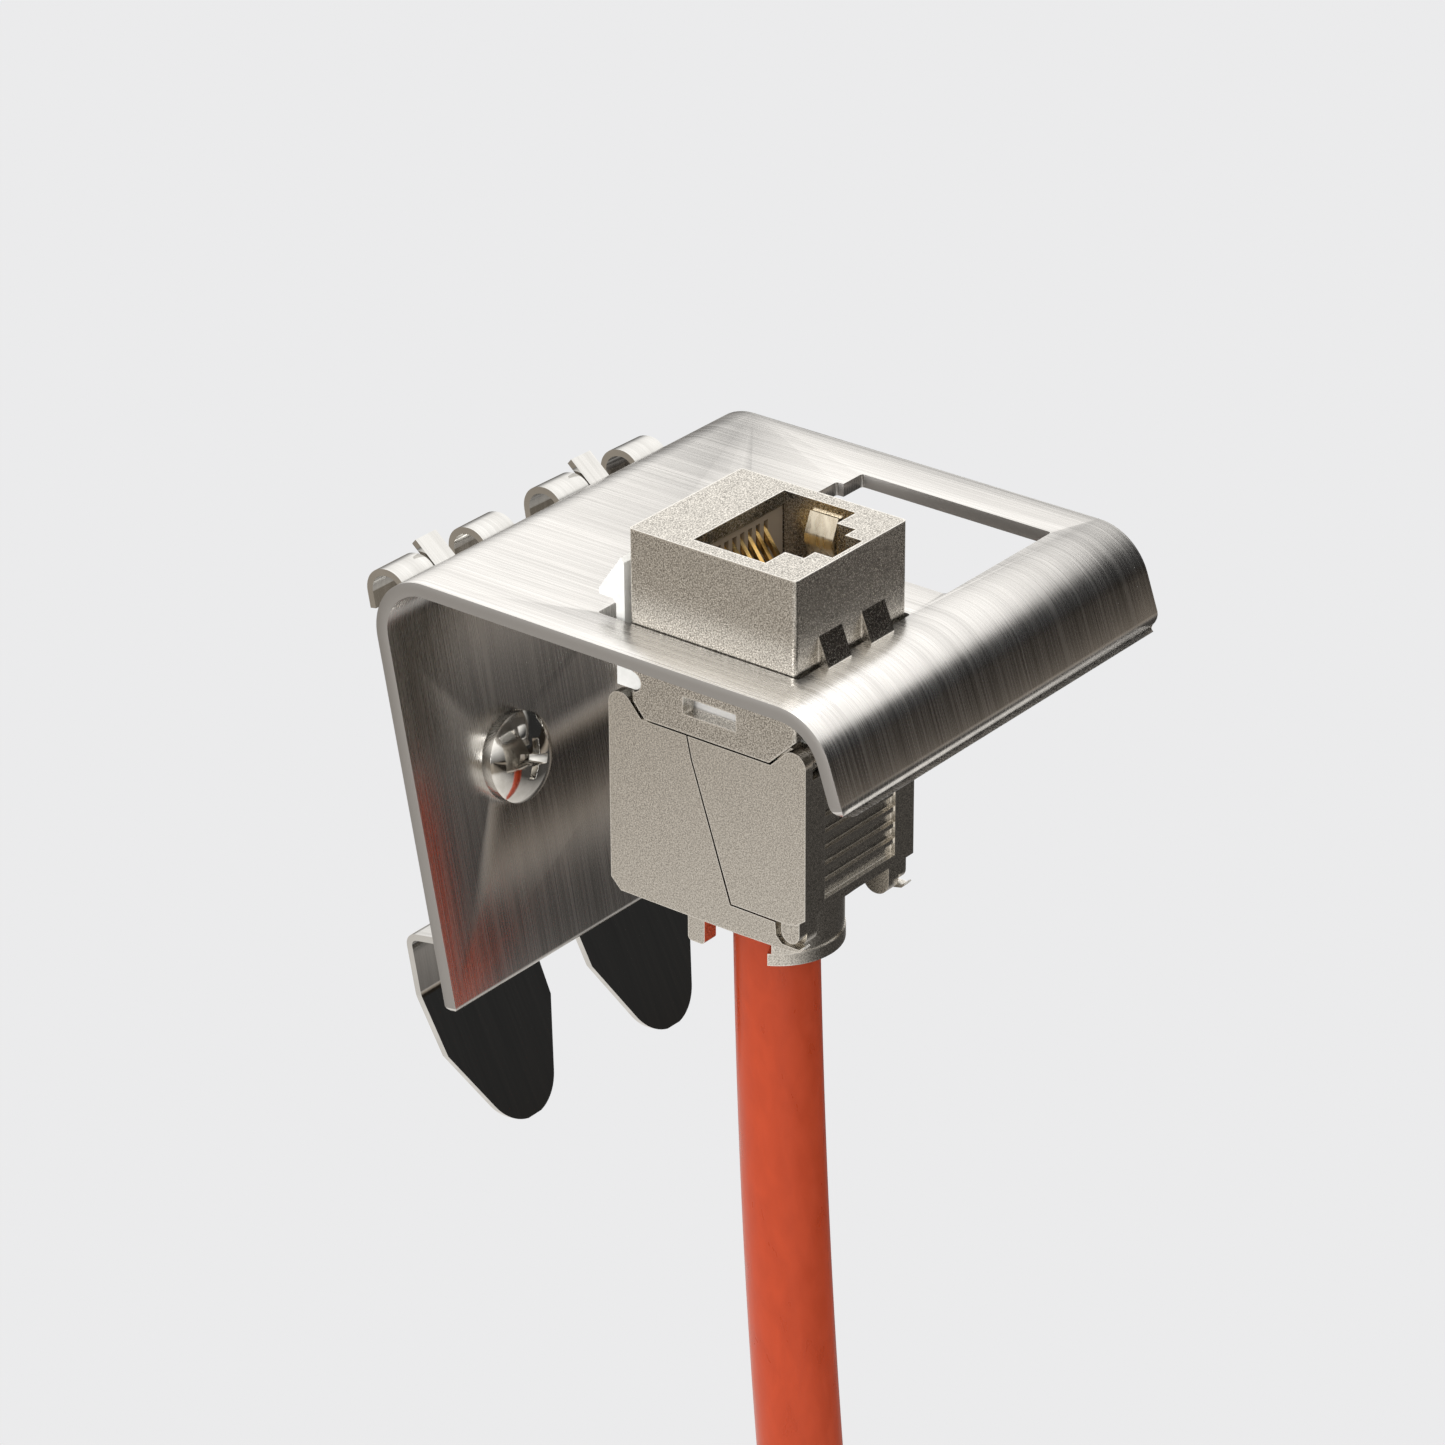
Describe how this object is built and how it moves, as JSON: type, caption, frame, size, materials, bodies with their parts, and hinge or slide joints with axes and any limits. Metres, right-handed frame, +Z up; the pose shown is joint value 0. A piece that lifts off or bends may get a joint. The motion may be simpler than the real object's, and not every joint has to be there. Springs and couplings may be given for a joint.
{
  "type": "din rail keystone adapter",
  "caption": "Folded steel bracket that clips and screws to a mounting rail and holds snap-in keystone jacks, shown with a shielded jack and its cable fitted.",
  "frame": {"origin": "on the rail's front face, at the rail's centre-line, midway along the bracket's width", "axes": "+X along the rail to the right as seen from the front, -Y forward away from the rail to the lip, +Z up"},
  "size_m": [0.0434, 0.0538, 0.2061],
  "materials": {
    "bracket_steel": "brushed stainless sheet, grain along the sheet, satin cut edges",
    "clip_steel": "bright spring steel strip, smooth",
    "screw_nickel": "polished nickel plate",
    "housing_nickel": "fine sandy nickel plate over a zinc casting",
    "latch_plastic": "plain white moulding",
    "carrier_plastic": "white moulding",
    "contact_gold": "gold flash over spring bronze",
    "shield_spring": "bright spring strip",
    "board_green": "solder mask over glass laminate",
    "idc_plastic": "white moulding",
    "blade_bronze": "tinned bronze blades",
    "cap_plastic": "white moulding",
    "wing_nickel": "satin nickel plate over a zinc casting",
    "pin_steel": "ground steel pin",
    "cable_jacket": "orange low-smoke sheath, soft sheen",
    "braid_tin": "tinned copper braid folded back",
    "pair_foil": "foil wrapped round each pair",
    "core_plastic": "coloured core insulation"
  },
  "bodies": {
    "adapter": {"bracket": "bracket_steel", "clip_left": "clip_steel", "clip_right": "clip_steel", "screw_left": "screw_nickel", "screw_right": "screw_nickel", "jack_housing": "housing_nickel", "carrier": "carrier_plastic", "contacts": "contact_gold", "spring_left": "shield_spring", "spring_right": "shield_spring", "board": "board_green", "idc_block": "idc_plastic", "idc_blades": "blade_bronze", "lacing_cap": "cap_plastic", "inner_pairs": "core_plastic", "hinge_pin_rear": "pin_steel", "hinge_pin_front": "pin_steel", "cable": "cable_jacket", "braid_end": "braid_tin", "foil_pairs": "pair_foil", "cable_cores": "core_plastic"},
    "latch_arm": {"latch": "latch_plastic"},
    "rear_wing": {"wing_rear": "wing_nickel"},
    "front_wing": {"wing_front": "wing_nickel"}
  },
  "joints": [
    {"name": "latch_press", "type": "hinge", "parent": "adapter", "child": "latch_arm", "pos_m": [-0.00975, -0.02315, 0.01143], "axis": [-1, 0, 0], "range_deg": [0, 3], "stiffness_Nm_per_rad": 0.02},
    {"name": "rear_wing_swing", "type": "hinge", "parent": "adapter", "child": "rear_wing", "pos_m": [-0.00975, -0.02147, 0.0092], "axis": [1, 0, 0], "range_deg": [0, 45]},
    {"name": "front_wing_swing", "type": "hinge", "parent": "adapter", "child": "front_wing", "pos_m": [-0.00975, -0.03856, 0.00593], "axis": [-1, 0, 0], "range_deg": [0, 45]}
  ],
  "couplings": [
    {"joint": "front_wing_swing", "follows": "rear_wing_swing", "ratio": 1}
  ]
}
